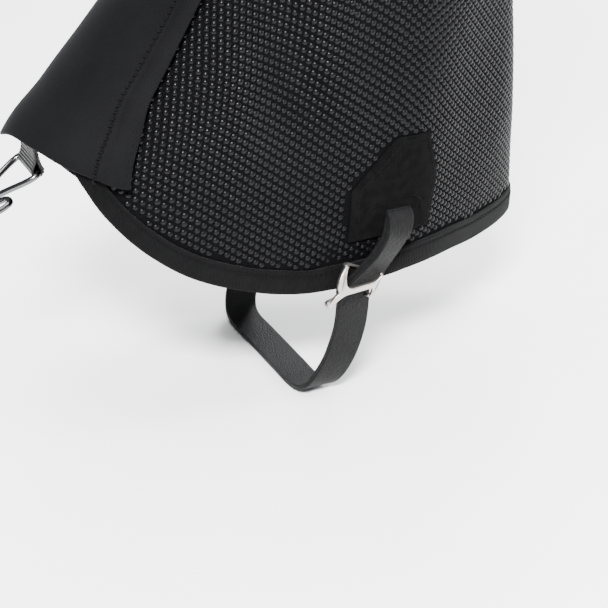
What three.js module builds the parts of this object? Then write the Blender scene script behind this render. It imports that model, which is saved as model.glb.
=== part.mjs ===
// A left-leg mountain gaiter in its worn shape: cloth shell, front flap, instep strap with its buckle, lace hook
// and top strap with a cam buckle. Millimetres. The origin is on the leg's axis, level with the upper face of the
// strap under the boot's arch. +Z is up the leg, -Y points to the toe and +X to the outer side of the leg.
import * as THREE from 'three';

// Heights
const TOP_Z = 430;
const YOKE_Z = 236;
const STRAP_Z = 406;

// Thicknesses, and the clearance kept between layers
const CLOTH = 1.4;
const TAPE = 0.8;
const GAP = 0.45;

// Front flap: how far it stands off the shell, its sewn edge, and where it has come down to the shell
const FLAP_OFF = 3.4;
const FLAP_SEAM = -50;
const FLAP_RAMP = -38;
const FLAP_BAND = 8;

// Instep strap and the doubled strap above its buckle
const STRAP_WIDTH = 14.5;
const TAB_WIDTH = 13.2;
const STRAP_THICK = 2.4;
const TAB_THICK = 4.2;
const BUCKLE_THICK = 1.6;
const BUCKLE_AT = { x: 55, y: -28.2, z: 50.2 };

// Lace hook and the elastic it hangs on
const WIRE_R = 1.25;
const ELASTIC_WIDTH = 18;
const ELASTIC_TOP = { y: -141.8, z: 120.2 };
const HOOK_BAR = { y: -141, z: 106.5 };

// Top strap and cam buckle
const TOP_STRAP_WIDTH = 19;
const TOP_STRAP_THICK = 1.6;
const CAM_AT = 80;
const CAM_PIN_OFF = 8.3;
const CAM_PIN_R = 1.25;
const CHEEK = 1.8;

// The leg form that the cloth lies on: at each height, how far the outer face of the cloth is from the axis
// towards the toe, the heel and each side, and how far behind the axis it is widest. `back` is how square the
// heel half is: 0 is an ellipse, and below 0 the sides run straighter to the heel. FRONT is the same for the toe half.
const FORM = [
  { z: 20, toe: 160, heel: 78, side: 46, widest: -4, back: -0.07 },
  { z: 60, toe: 159, heel: 78.5, side: 47.5, widest: -4, back: -0.07 },
  { z: 90, toe: 154, heel: 78, side: 49, widest: -2, back: -0.07 },
  { z: 112, toe: 147, heel: 76, side: 49.5, widest: 0, back: -0.07 },
  { z: 130, toe: 132, heel: 74, side: 49.5, widest: 2, back: -0.07 },
  { z: 150, toe: 113, heel: 71.5, side: 50, widest: 3, back: -0.065 },
  { z: 180, toe: 88, heel: 69.5, side: 51, widest: 3, back: -0.05 },
  { z: 215, toe: 72, heel: 68.5, side: 53, widest: 3, back: -0.02 },
  { z: 260, toe: 67, heel: 69.5, side: 57, widest: 3, back: 0.02 },
  { z: 330, toe: 67, heel: 73, side: 61, widest: 3, back: 0.04 },
  { z: 430, toe: 66, heel: 70, side: 61, widest: 3, back: 0.04 },
];
const FRONT = 0.04;

// The height of the hem at angles from the toe round to the heel, the same on both sides.
const HEM = [
  { at: 0, z: 122 }, { at: 24, z: 118 }, { at: 34, z: 107 }, { at: 41, z: 95 }, { at: 51, z: 78 },
  { at: 60, z: 64.5 }, { at: 70, z: 54 }, { at: 76, z: 50 }, { at: 83, z: 49 }, { at: 93, z: 51.5 },
  { at: 115, z: 52 }, { at: 131, z: 50 }, { at: 150, z: 48.5 }, { at: 180, z: 48 },
];
const BINDING = 10.5;

// The bottom edge of the flap, and the angle of its free edge at each height.
const FLAP_LOW = [
  { at: -50, z: 99 }, { at: -36, z: 104.5 }, { at: -17, z: 111 }, { at: 0, z: 116.3 }, { at: 17, z: 116.3 },
  { at: 28, z: 113.7 }, { at: 36, z: 111 }, { at: 45, z: 107 },
];
const FLAP_EDGE = [
  { z: 100, at: 45.5 }, { z: 122, at: 43 }, { z: 140, at: 39 }, { z: 200, at: 35 }, { z: 417, at: 33 },
];
const FLAP_TOP = 417;

// The outline of the strap patch: its two side edges at three heights.
const PATCH = [
  { z: 69.5, from: 82.5, to: 103 },
  { z: 92, from: 82, to: 104.7 },
  { z: 111.5, from: 87.9, to: 98.4 },
];

// A smooth curve through a table's rows: the value of `field` where `key` is x.
function along(rows, key, field, x) {
  const last = rows.length - 1;
  const above = rows.findIndex((row) => row[key] > x);
  const i = above < 0 ? last - 1 : Math.max(0, above - 1);
  const [a, b] = [rows[i], rows[i + 1]];
  const span = b[key] - a[key];
  const t = THREE.MathUtils.clamp((x - a[key]) / span, 0, 1);
  const slope = (p, q) => (q[field] - p[field]) / (q[key] - p[key]);
  const slopeA = i > 0 ? slope(rows[i - 1], b) : 0;
  const slopeB = i + 2 <= last ? slope(a, rows[i + 2]) : 0;
  const s = 1 - t;
  const ends = (1 + 2 * t) * s * s * a[field] + (3 - 2 * t) * t * t * b[field];
  return ends + span * s * t * (s * slopeA - t * slopeB);
}

// An angle in degrees folded to 0 to 180, since the two sides of the shell match.
function folded(angle) {
  const turn = THREE.MathUtils.euclideanModulo(angle, 360);
  return Math.min(turn, 360 - turn);
}
const hemAt = (angle) => along(HEM, 'at', 'z', folded(angle));
const flapEdge = (z) => along(FLAP_EDGE, 'z', 'at', z);
const level = (z) => () => z;

// The point of the leg form at an angle from the toe towards the outer side, in degrees, and a height.
function form(angle, z) {
  const a = THREE.MathUtils.degToRad(angle);
  const row = (field) => along(FORM, 'z', field, z);
  const widest = row('widest');
  const square = Math.cos(a) > 0 ? FRONT : row('back');
  const across = (Math.sin(a) + square * Math.sin(3 * a)) / (1 - square);
  const fore = (Math.cos(a) - square * Math.cos(3 * a)) / (1 - square);
  const depth = fore > 0 ? row('toe') + widest : row('heel') - widest;
  return new THREE.Vector3(row('side') * across, widest - depth * fore, z);
}

// The outward normal of the leg form.
function outward(angle, z) {
  const round = form(angle + 0.5, z).sub(form(angle - 0.5, z));
  const up = form(angle, z + 0.5).sub(form(angle, z - 0.5));
  return round.cross(up).normalize();
}
const skin = (angle, z, off) => form(angle, z).addScaledVector(outward(angle, z), off);

function meshFrom(points, index) {
  const array = new Float32Array(points.flatMap((point) => point.toArray()));
  return new THREE.BufferGeometry().setAttribute('position', new THREE.BufferAttribute(array, 3)).setIndex(index);
}

// A closed solid between two faces of a grid: at(u, v, off) gives its points, with u and v from 0 to 1.
function slab(at, uSteps, vSteps, inner, outer) {
  const points = [];
  const index = [];
  const row = uSteps + 1;
  const layer = row * (vSteps + 1);
  for (const off of [inner, outer]) {
    for (let j = 0; j <= vSteps; j++) {
      for (let i = 0; i <= uSteps; i++) points.push(at(i / uSteps, j / vSteps, off));
    }
  }
  const quad = (a, b, c, d) => index.push(a, b, c, a, c, d);
  for (let j = 0; j < vSteps; j++) {
    for (let i = 0; i < uSteps; i++) {
      const a = j * row + i;
      quad(a + row, a + row + 1, a + 1, a);
      quad(layer + a, layer + a + 1, layer + a + row + 1, layer + a + row);
    }
  }
  for (let i = 0; i < uSteps; i++) {
    const top = vSteps * row + i;
    quad(i, i + 1, layer + i + 1, layer + i);
    quad(top + 1, top, layer + top, layer + top + 1);
  }
  for (let j = 0; j < vSteps; j++) {
    const a = j * row;
    const b = a + uSteps;
    quad(a + row, a, layer + a, layer + a + row);
    quad(b, b + row, layer + b + row, layer + b);
  }
  return meshFrom(points, index);
}

// A closed solid swept round the leg: profile(angle) is its section as [off, z] corners, anticlockwise.
function band(from, to, steps, profile) {
  const points = [];
  const index = [];
  const count = profile(from).length;
  for (let i = 0; i <= steps; i++) {
    const angle = from + ((to - from) * i) / steps;
    for (const [off, z] of profile(angle)) points.push(skin(angle, z, off));
  }
  for (let i = 0; i < steps; i++) {
    for (let k = 0; k < count; k++) {
      const a = i * count + k;
      const b = i * count + ((k + 1) % count);
      index.push(a, a + count, b + count, a, b + count, b);
    }
  }
  const corners = profile(from).map(([off, z]) => new THREE.Vector2(off, z));
  const end = steps * count;
  for (const [a, b, c] of THREE.ShapeUtils.triangulateShape(corners, [])) {
    index.push(a, b, c, end + a, end + c, end + b);
  }
  return meshFrom(points, index);
}

// A panel of cloth between two angles, and two heights given as functions of the angle. Its rows are closer
// together towards the bottom, where the form bends most.
function panel(from, to, low, high, inner, outer, uSteps, vSteps) {
  const at = (u, v, off) => {
    const angle = from + (to - from) * u;
    return skin(angle, THREE.MathUtils.lerp(low(angle), high(angle), v * (1 + 2 * v) / 3), off);
  };
  return slab(at, uSteps, vSteps, inner, outer);
}

// A strap along a smooth path. Its width is square to the path, or towards its end along Y by the share `slant`.
// Offsets are outward.
function ribbon(path, width, inner, outer, steps, slant = 0) {
  const curve = new THREE.CatmullRomCurve3(path.map((point) => new THREE.Vector3(...point)), false, 'centripetal');
  const at = (u, v, off) => {
    const tangent = curve.getTangentAt(v);
    const normal = tangent.clone().cross(new THREE.Vector3(0, 1, 0)).normalize();
    const side = tangent.clone().cross(normal);
    side.lerp(new THREE.Vector3(0, -1, 0), slant * v).normalize();
    return curve.getPointAt(v).addScaledVector(side, (u - 0.5) * width).addScaledVector(normal, off);
  };
  return slab(at, 2, steps, inner, outer);
}

// A flat outline in Y and Z, extruded along X from `x` by `depth`.
function alongX(shape, x, depth) {
  const geometry = new THREE.ExtrudeGeometry(shape, { depth, bevelEnabled: false, curveSegments: 8 });
  const basis = new THREE.Matrix4().makeBasis(
    new THREE.Vector3(0, 1, 0),
    new THREE.Vector3(0, 0, 1),
    new THREE.Vector3(1, 0, 0),
  );
  return geometry.applyMatrix4(basis).translate(x, 0, 0);
}

const gaiter = new THREE.Group();
function add(name, geometry, color, roughness = 0.9, metalness = 0) {
  const mesh = new THREE.Mesh(geometry, new THREE.MeshStandardMaterial({ color, roughness, metalness }));
  mesh.name = name;
  gaiter.add(mesh);
}
const BLACK = 0x151515;
const MATTE = 0x202022;
const STEEL = 0xb8b4ae;

// Shell: two lower panels and two upper ones, meeting at the back seam and the yoke seam.
function addShell() {
  const hemEdge = (angle) => hemAt(angle) + 2.3;
  const below = level(YOKE_Z - 0.3);
  const above = level(YOKE_Z + 0.3);
  const top = level(TOP_Z - 1.4);
  add('outer_lower_panel', panel(-28, 179.7, hemEdge, below, -CLOTH, 0, 52, 11), BLACK, 0.6);
  add('inner_lower_panel', panel(180.3, 324, hemEdge, below, -CLOTH, 0, 36, 11), BLACK, 0.6);
  add('outer_upper_panel', panel(-28, 179.7, above, top, -CLOTH, 0, 26, 5), MATTE);
  add('inner_upper_panel', panel(180.3, 324, above, top, -CLOTH, 0, 18, 5), MATTE);
}

// Tapes over the seams, and the bindings folded over the hem and the top edge.
function addTrim() {
  const yokeTape = panel(48, 304, level(YOKE_Z - 4), level(YOKE_Z + 4), GAP, GAP + TAPE, 32, 2);
  add('yoke_seam_tape', yokeTape, BLACK);
  const lowTape = panel(175, 185, level(73), level(YOKE_Z - 5), GAP, GAP + TAPE, 4, 14);
  add('back_seam_tape_lower', lowTape, BLACK);
  const highTape = panel(175, 185, level(YOKE_Z + 5), level(TOP_Z - 14), GAP, GAP + TAPE, 4, 8);
  add('back_seam_tape_upper', highTape, BLACK);
  const face = GAP + 0.9;
  const back = -CLOTH - GAP - 0.9;
  const hem = (angle) => {
    const z = hemAt(angle);
    const channel = z + 1.2;
    const middle = z + BINDING / 2;
    const top = z + BINDING;
    return [[back, z], [face, z], [face, middle], [face, top], [GAP, top], [GAP, middle], [GAP, channel],
      [-CLOTH - GAP, channel], [-CLOTH - GAP, middle], [-CLOTH - GAP, top - 2], [back, top - 2], [back, middle]];
  };
  add('hem_binding', band(-28, 324, 88, hem), BLACK);
  const top = () => {
    const z = TOP_Z + 0.5;
    const channel = z - 1.3;
    return [[face, z], [back, z], [back, z - 9], [-CLOTH - GAP, z - 9], [-CLOTH - GAP, channel],
      [GAP, channel], [GAP, z - 11], [face, z - 11]];
  };
  add('top_binding', band(-28, 324, 44, top), BLACK);
}

// Front flap: its main panel, the band along its free edge, and the hook and loop tapes that hold it shut.
function addFlap() {
  const off = (angle) => {
    const t = THREE.MathUtils.smoothstep(angle, FLAP_SEAM, FLAP_RAMP);
    return THREE.MathUtils.lerp(GAP - FLAP_OFF, 0, t);
  };
  const piece = (start, end, uSteps) => {
    const at = (u, v, away) => {
      const guess = THREE.MathUtils.lerp(start(110), end(110), u);
      const z = THREE.MathUtils.lerp(along(FLAP_LOW, 'at', 'z', guess), FLAP_TOP, v);
      const angle = THREE.MathUtils.lerp(start(z), end(z), u);
      return skin(angle, z, away + off(angle));
    };
    return slab(at, uSteps, 18, FLAP_OFF, FLAP_OFF + CLOTH);
  };
  add('front_flap', piece(() => FLAP_SEAM, (z) => flapEdge(z) - FLAP_BAND - 0.25, 16), MATTE);
  add('flap_edge_band', piece((z) => flapEdge(z) - FLAP_BAND + 0.25, flapEdge, 2), MATTE);
  const tape = (low, inner, outer) => {
    const at = (u, v, away) => {
      const z = THREE.MathUtils.lerp(low, FLAP_TOP - 3, v);
      return skin(flapEdge(z) - 27 + 17 * u, z, away);
    };
    return slab(at, 3, 16, inner, outer);
  };
  add('loop_tape', tape(133, 0.7, 0.7 + TAPE), BLACK);
  add('hook_tape', tape(133, FLAP_OFF - 0.7 - TAPE, FLAP_OFF - 0.7), BLACK);
}

// The house-shaped patch that the instep strap comes out of, on the outer (1) or inner (-1) side.
function patch(side) {
  const at = (u, v, off) => {
    const z = v < 0.5 ? THREE.MathUtils.lerp(PATCH[0].z, PATCH[1].z, v * 2)
      : THREE.MathUtils.lerp(PATCH[1].z, PATCH[2].z, v * 2 - 1);
    const [a, b] = v < 0.5 ? [PATCH[0], PATCH[1]] : [PATCH[1], PATCH[2]];
    const t = (z - a.z) / (b.z - a.z);
    const low = THREE.MathUtils.lerp(a.from, b.from, t);
    const high = THREE.MathUtils.lerp(a.to, b.to, t);
    const angle = THREE.MathUtils.lerp(low, high, side > 0 ? u : 1 - u);
    return skin(side * angle, z, off);
  };
  return slab(at, 6, 10, GAP, GAP + 1);
}

// The H-shaped slide: two curved rails with a crossbar in front of the straps and a bar behind each of them.
function buckleOutline() {
  const { y, z } = BUCKLE_AT;
  const shape = new THREE.Shape();
  shape.moveTo(y - 0.8, z + 11.2);
  shape.lineTo(y - 2.0, z + 11.4);
  shape.quadraticCurveTo(y - 6.2, z + 8.2, y - 6.8, z + 4.6);
  shape.quadraticCurveTo(y - 6.9, z + 2.6, y - 6.4, z + 1.4);
  shape.quadraticCurveTo(y - 10.6, z - 1.0, y - 10.8, z - 4.4);
  shape.lineTo(y - 10.2, z - 5.2);
  shape.quadraticCurveTo(y - 7.8, z - 2.6, y - 6.0, z - 1.5);
  shape.quadraticCurveTo(y - 4.6, z - 0.5, y - 3.0, z - 0.2);
  shape.lineTo(y + 8.4, z + 0.5);
  shape.quadraticCurveTo(y + 9.1, z - 0.8, y + 7.6, z - 3.6);
  shape.lineTo(y + 8.5, z - 3.9);
  shape.quadraticCurveTo(y + 11.3, z - 1.6, y + 11.3, z + 1.2);
  shape.quadraticCurveTo(y + 12.0, z + 3.4, y + 13.9, z + 4.7);
  shape.lineTo(y + 13.0, z + 5.4);
  shape.quadraticCurveTo(y + 11.2, z + 3.2, y + 8.6, z + 2.9);
  shape.lineTo(y - 0.4, z + 2.3);
  shape.quadraticCurveTo(y - 2.9, z + 2.6, y - 3.0, z + 5.2);
  shape.quadraticCurveTo(y - 3.0, z + 8.6, y - 0.8, z + 11.2);
  return shape;
}

// The instep loop: doubled strap above the buckle, the buckle, and the strap under the arch.
function addInstepLoop() {
  const tab = [[51.1, -3.8, 83.2], [51.7, -7.4, 75], [51.6, -13.5, 65], [50, -20, 56], [49.2, -23.2, 52.3]];
  add('upper_strap', ribbon(tab, TAB_WIDTH, 0, TAB_THICK, 12, 1), 0x3c3c3e, 0.6);
  add('strap_buckle', alongX(buckleOutline(), BUCKLE_AT.x, BUCKLE_THICK), STEEL, 0.3, 1);
  const strap = [[48.9, -25.4, 51], [48.6, -25.1, 43], [47, -26, 29], [45.2, -30.3, 14.5], [41, -35.4, 4],
    [33, -38, 0], [15, -38.5, 0], [0, -38.5, 0], [-15, -38.5, 0], [-33, -38, 0], [-41, -35.5, 4],
    [-45.8, -30, 16], [-49.6, -23, 36], [-51.6, -13.5, 62], [-51.2, -4, 83]];
  add('instep_strap', ribbon(strap, STRAP_WIDTH, 0, STRAP_THICK, 56), 0x333335, 0.6);
}

// The flat elastic: two layers that part round the hook's bar.
function elasticOutline() {
  const shape = new THREE.Shape();
  const { y, z } = HOOK_BAR;
  const lean = Math.atan2(ELASTIC_TOP.y - y, ELASTIC_TOP.z - z);
  const eye = WIRE_R + 0.35 + 1;
  const turn = (radius, angle) => [y + radius * Math.cos(angle), z + radius * Math.sin(angle)];
  const up = Math.PI / 2 - lean;
  const top = [ELASTIC_TOP.y, ELASTIC_TOP.z];
  const half = [0.7 * Math.cos(lean), -0.7 * Math.sin(lean)];
  shape.moveTo(top[0] - half[0], top[1] - half[1]);
  shape.lineTo(y - half[0] + 4 * Math.sin(lean), z - half[1] + 4 * Math.cos(lean));
  shape.lineTo(...turn(eye, up + 1));
  shape.absarc(y, z, eye, up + 1, up + Math.PI * 2 - 1, false);
  shape.lineTo(y + half[0] + 4 * Math.sin(lean), z + half[1] + 4 * Math.cos(lean));
  shape.lineTo(top[0] + half[0], top[1] + half[1]);
  const hole = new THREE.Path();
  hole.absarc(y, z, WIRE_R + 0.35, 0, Math.PI * 2, true);
  shape.holes.push(hole);
  return shape;
}

// The lace hook: one wire, with its ends meeting inside the elastic, bent to two legs and a hook under them.
function hookWire() {
  const { y, z } = HOOK_BAR;
  const lateral = [[0.3, 0, 0], [9, 0, 0], [11, -1.4, -0.7], [10.6, -5, -2.6], [6.4, -14, -7.3], [4.6, -18, -10],
    [4.2, -19.6, -13.4], [3.8, -16.6, -16], [2.6, -11, -14.2], [0, -9.8, -13.8]];
  const medial = lateral.slice(0, -1).reverse().map(([px, py, pz]) => [-px, py, pz]);
  const points = [...lateral, ...medial].map(([px, py, pz]) => new THREE.Vector3(px, y + py, z + pz));
  const path = new THREE.CatmullRomCurve3(points, false, 'centripetal');
  const section = new THREE.Shape().absarc(0, 0, WIRE_R, 0, Math.PI * 2, false);
  return new THREE.ExtrudeGeometry(section, { steps: 54, curveSegments: 4, extrudePath: path, bevelEnabled: false });
}

function addLaceHook() {
  add('elastic_anchor', panel(-8, 8, level(123.5), level(137), 1.75, 2.55, 6, 3), BLACK);
  add('hook_elastic', alongX(elasticOutline(), -ELASTIC_WIDTH / 2, ELASTIC_WIDTH), BLACK);
  add('lace_hook', hookWire(), 0x2a2a2c, 0.25, 1);
}

// How far the top strap lies off the shell as it crosses the flap and the buckle's base.
const TOP_STRAP_OFF = [
  { at: -82, off: 0.6 }, { at: -72, off: 0.6 }, { at: -56, off: 5.3 }, { at: -40, off: 5.3 },
  { at: 0, off: 5.3 }, { at: 38, off: 5.3 }, { at: 46, off: 4.6 }, { at: 60, off: 2.15 },
  { at: 68, off: 2.1 }, { at: 94, off: 2.1 }, { at: 102, off: 0.65 }, { at: 120, off: 0.6 },
];

// The lever's section across the strap: a round cam on the pin, its nose, and the handle.
function leverSection() {
  const shape = new THREE.Shape();
  shape.moveTo(0, 3.4);
  shape.absarc(0, 0, 3.4, Math.PI / 2, Math.PI * 1.25, false);
  shape.lineTo(-0.9, -4.1);
  shape.lineTo(1.2, -4.1);
  shape.lineTo(3.2, -1.2);
  shape.lineTo(8, 0.3);
  shape.lineTo(21, -1.6);
  shape.lineTo(22.4, -0.6);
  shape.lineTo(22, 0.9);
  shape.lineTo(9, 2.9);
  const hole = new THREE.Path();
  hole.absarc(0, 0, CAM_PIN_R + 0.07, 0, Math.PI * 2, true);
  shape.holes.push(hole);
  return shape;
}

function addTopStrap() {
  const half = TOP_STRAP_WIDTH / 2;
  const strapAt = (u, v, away) => {
    const angle = -82 + 202 * u;
    const z = STRAP_Z + (2 * v - 1) * half;
    return skin(angle, z, away + along(TOP_STRAP_OFF, 'at', 'off', angle));
  };
  add('top_strap', slab(strapAt, 60, 1, 0, TOP_STRAP_THICK), BLACK);
  const tip = panel(120.3, 126, level(STRAP_Z - half - 0.6), level(STRAP_Z + half + 0.6), GAP, 2.6, 3, 1);
  add('strap_end_tip', tip, 0x0c0c0c, 0.4);
  const keeper = () => {
    const wide = half + 1.8;
    const [lo, hi, foot, under, over] = [STRAP_Z - wide, STRAP_Z + wide, GAP, 2.75, 3.65];
    return [[foot, lo], [over, lo], [over, hi], [foot, hi], [foot, hi - 1.2], [under, hi - 1.2],
      [under, lo + 1.2], [foot, lo + 1.2]];
  };
  add('strap_keeper', band(106, 111, 2, keeper), BLACK);
  const wide = half + 0.7 + CHEEK;
  const frame = () => {
    const [lo, hi] = [STRAP_Z - wide, STRAP_Z + wide];
    return [[GAP, lo], [10.4, lo], [10.4, lo + CHEEK], [1.7, lo + CHEEK], [1.7, hi - CHEEK], [10.4, hi - CHEEK],
      [10.4, hi], [GAP, hi]];
  };
  add('cam_buckle_frame', band(CAM_AT - 7, CAM_AT + 8, 6, frame), 0x0c0c0c, 0.4);
  const pinCentre = skin(CAM_AT, STRAP_Z, CAM_PIN_OFF);
  const pin = new THREE.CylinderGeometry(CAM_PIN_R, CAM_PIN_R, 2 * (wide - CHEEK) - 0.1, 16).rotateX(Math.PI / 2);
  add('cam_pin', pin.translate(...pinCentre.toArray()), STEEL, 0.3, 1);
  const options = { depth: 2 * half + 0.6, bevelEnabled: false, curveSegments: 10 };
  const lever = new THREE.ExtrudeGeometry(leverSection(), options).translate(0, 0, -half - 0.3);
  const normal = outward(CAM_AT, STRAP_Z);
  const back = new THREE.Vector3(-normal.y, normal.x, 0).normalize();
  const away = new THREE.Vector3(normal.x, normal.y, 0).normalize();
  const basis = new THREE.Matrix4().makeBasis(back, away, new THREE.Vector3(0, 0, 1));
  lever.applyMatrix4(basis).translate(...pinCentre.toArray());
  flip(lever);
  add('cam_lever', lever, 0x0c0c0c, 0.4);
}

// Turns a mesh's faces round after a transform that mirrors it.
function flip(geometry) {
  const position = geometry.getAttribute('position');
  for (let i = 0; i < position.count; i += 3) {
    const b = new THREE.Vector3().fromBufferAttribute(position, i + 1);
    const c = new THREE.Vector3().fromBufferAttribute(position, i + 2);
    position.setXYZ(i + 1, c.x, c.y, c.z);
    position.setXYZ(i + 2, b.x, b.y, b.z);
  }
  return geometry;
}

addShell();
addTrim();
addFlap();
add('outer_strap_patch', patch(1), MATTE);
add('inner_strap_patch', patch(-1), MATTE);
addInstepLoop();
addLaceHook();
addTopStrap();

export default gaiter;
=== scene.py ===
"""The gaiter's looks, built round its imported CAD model.

Lengths are in millimetres until a mesh is made, and angles in degrees round the leg from the toe towards +X.
A place on the cloth is an angle and a height, and "off" is how far out from the leg form something lies.
"""

import math

import bmesh
import bpy
import numpy as np
from mathutils import Matrix, Vector


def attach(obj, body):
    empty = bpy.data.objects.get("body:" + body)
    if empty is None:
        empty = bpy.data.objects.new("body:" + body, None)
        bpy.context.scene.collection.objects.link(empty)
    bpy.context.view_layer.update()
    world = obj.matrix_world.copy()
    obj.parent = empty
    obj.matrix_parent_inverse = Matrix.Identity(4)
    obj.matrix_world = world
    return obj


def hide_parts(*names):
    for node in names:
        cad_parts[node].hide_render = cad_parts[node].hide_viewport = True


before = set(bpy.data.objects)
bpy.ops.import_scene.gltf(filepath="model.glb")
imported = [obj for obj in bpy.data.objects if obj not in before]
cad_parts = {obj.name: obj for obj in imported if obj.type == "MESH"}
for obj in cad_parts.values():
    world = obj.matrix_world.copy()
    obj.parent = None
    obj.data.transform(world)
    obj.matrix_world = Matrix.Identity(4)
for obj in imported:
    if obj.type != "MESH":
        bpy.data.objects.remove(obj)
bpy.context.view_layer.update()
RNG = np.random.default_rng(7)

# ---------------------------------------------------------------- the leg form, as in the CAD source
TOP_Z = 430.0
YOKE_Z = 236.0
STRAP_Z = 406.0
CLOTH = 1.4
TAPE = 0.8
GAP = 0.45
BINDING = 10.5

# the shell is open between these two angles, and its panels meet at the back seam
OPENING_OUTER = -28
OPENING_INNER = 324
BACK_OUTER = 179.7
BACK_INNER = 180.3

# the flap: how far it stands off, its sewn edge and the slope beside it, the width of its fold, its top
FLAP_OFF = 3.4
FLAP_SEAM = -50.0
FLAP_RAMP = -38.0
FLAP_BAND = 8.0
FLAP_TOP = 417.0

# height; distance from the axis to toe, heel and side; how far back it is widest; how square the heel half is
FRONT = 0.04
FORM = np.array([
    (20, 160, 78, 46, -4, -0.07), (60, 159, 78.5, 47.5, -4, -0.07), (90, 154, 78, 49, -2, -0.07),
    (112, 147, 76, 49.5, 0, -0.07), (130, 132, 74, 49.5, 2, -0.07), (150, 113, 71.5, 50, 3, -0.065),
    (180, 88, 69.5, 51, 3, -0.05), (215, 72, 68.5, 53, 3, -0.02), (260, 67, 69.5, 57, 3, 0.02),
    (330, 67, 73, 61, 3, 0.04), (430, 66, 70, 61, 3, 0.04)], float)

# heights by angle: the hem, and the flap's lower edge
HEM = np.array([(0, 122), (24, 118), (34, 107), (41, 95), (51, 78), (60, 64.5), (70, 54), (76, 50), (83, 49),
                (93, 51.5), (115, 52), (131, 50), (150, 48.5), (180, 48)], float)
FLAP_LOW = np.array([(-50, 99), (-36, 104.5), (-17, 111), (0, 116.3), (17, 116.3), (28, 113.7), (36, 111),
                     (45, 107)], float)

# angles by height: the flap's free edge, and the two sides of the patch
FLAP_EDGE = np.array([(100, 45.5), (122, 43), (140, 39), (200, 35), (417, 33)], float)
PATCH = np.array([(69.5, 82.5, 103), (92, 82, 104.7), (111.5, 87.9, 98.4)], float)

# how far off the form the top strap runs, by angle
TOP_STRAP_OFF = np.array([(-82, 0.6), (-72, 0.6), (-56, 5.3), (-40, 5.3), (0, 5.3), (38, 5.3), (46, 4.6),
                          (60, 2.15), (68, 2.1), (94, 2.1), (102, 0.65), (120, 0.6)], float)


def curve(table, column=1):
    """A smooth curve through a table's rows, as a function of its first column."""
    x, y = table[:, 0], table[:, column]
    slope = np.zeros(len(x))
    slope[1:-1] = (y[2:] - y[:-2]) / (x[2:] - x[:-2])

    def value(at):
        at = np.clip(np.asarray(at, float), x[0], x[-1])
        i = np.clip(np.searchsorted(x, at, side="right") - 1, 0, len(x) - 2)
        span = x[i + 1] - x[i]
        t = (at - x[i]) / span
        s = 1 - t
        ends = (1 + 2 * t) * s * s * y[i] + (3 - 2 * t) * t * t * y[i + 1]
        return ends + span * s * t * (s * slope[i] - t * slope[i + 1])

    return value


TOE, HEEL, SIDE, WIDEST, BACK = (curve(FORM, k) for k in range(1, 6))
hem_curve = curve(HEM)
flap_low = curve(FLAP_LOW)
flap_edge = curve(FLAP_EDGE)
strap_off = curve(TOP_STRAP_OFF)


def hem_at(angle):
    turn = np.mod(angle, 360.0)
    return hem_curve(np.minimum(turn, 360.0 - turn))


def smooth(x, low, high):
    t = np.clip((x - low) / (high - low), 0, 1)
    return t * t * (3 - 2 * t)


def form(angle, z):
    """Points on the leg form, which is an ellipse made squarer or rounder in each half."""
    angle, z = np.broadcast_arrays(np.asarray(angle, float), np.asarray(z, float))
    a = np.radians(angle)
    square = np.where(np.cos(a) > 0, FRONT, BACK(z))
    across = (np.sin(a) + square * np.sin(3 * a)) / (1 - square)
    fore = (np.cos(a) - square * np.cos(3 * a)) / (1 - square)
    widest = WIDEST(z)
    depth = np.where(fore > 0, TOE(z) + widest, HEEL(z) - widest)
    return np.stack([SIDE(z) * across, widest - depth * fore, z], -1)


def unit(v):
    return v / np.maximum(np.linalg.norm(v, axis=-1, keepdims=True), 1e-9)


def outward(angle, z):
    around = form(angle + 0.5, z) - form(angle - 0.5, z)
    up = form(angle, z + 0.5) - form(angle, z - 0.5)
    return unit(np.cross(around, up))


def bump(p, centre, radii):
    d = (p - np.array(centre)) / np.array(radii)
    return np.exp(-(d * d).sum(-1))


def drape(angle, z):
    """How far the worn cloth stands off the smooth form: soft folds, and pulls towards the strap."""
    p = form(angle, z)
    x, y = p[..., 0], p[..., 1]
    outer = smooth(x, 10, 35)
    # the hollow in front of the ankle and the swell on either side of it
    lean = y + 0.25 * (z - 130)
    below_calf = 1 - smooth(z, 190, 225)
    crease = -3.4 * np.exp(-((lean + 47) / 10.0) ** 2) * smooth(z, 112, 136) * below_calf
    swell = 1.5 * np.exp(-((lean + 70) / 13.0) ** 2) * smooth(z, 95, 130) * below_calf
    swell += 1.3 * np.exp(-((lean + 25) / 12.0) ** 2) * smooth(z, 115, 140) * below_calf
    # the pull of the strap on the cloth round the patch
    pull = -1.1 * bump(p, (47, -33, 62), (60, 6, 9)) + 0.7 * bump(p, (47, -43, 62), (60, 7, 8))
    pull += -0.6 * bump(p, (47, -55, 66), (60, 5, 14)) + 0.8 * bump(p, (47, -34, 75), (60, 7, 8))
    # loose folds, held still at the hem, the patch and the top strap
    waves = 0.7 * np.sin(angle / 17.0 + z / 33.0) + 0.5 * np.sin(angle / 9.0 - z / 27.0 + 1.3)
    calf = smooth(z, 160, 200) * (1 - smooth(z, 250, 300))
    waves += 0.9 * np.sin(z / 21.0 + np.sin(angle / 25.0) * 2) * calf
    hold = smooth(z - hem_at(angle), 8, 40) * (1 - smooth(z, 372, 396))
    near_patch = 1 - 0.8 * bump(p, (49, -2, 90), (60, 24, 26))
    turn = (np.mod(angle + 180, 360) - 180) / 30.0
    front = -1.6 * np.exp(-turn ** 2) * smooth(z, 118, 132) * (1 - smooth(z, 165, 200))
    return front + (crease + swell + pull) * outer + waves * hold * near_patch


def skin(angle, z, off):
    """Points on the draped cloth's outer face, moved outwards by off."""
    return form(angle, z) + outward(angle, z) * (np.asarray(off, float) + drape(angle, z))[..., None]


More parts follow.
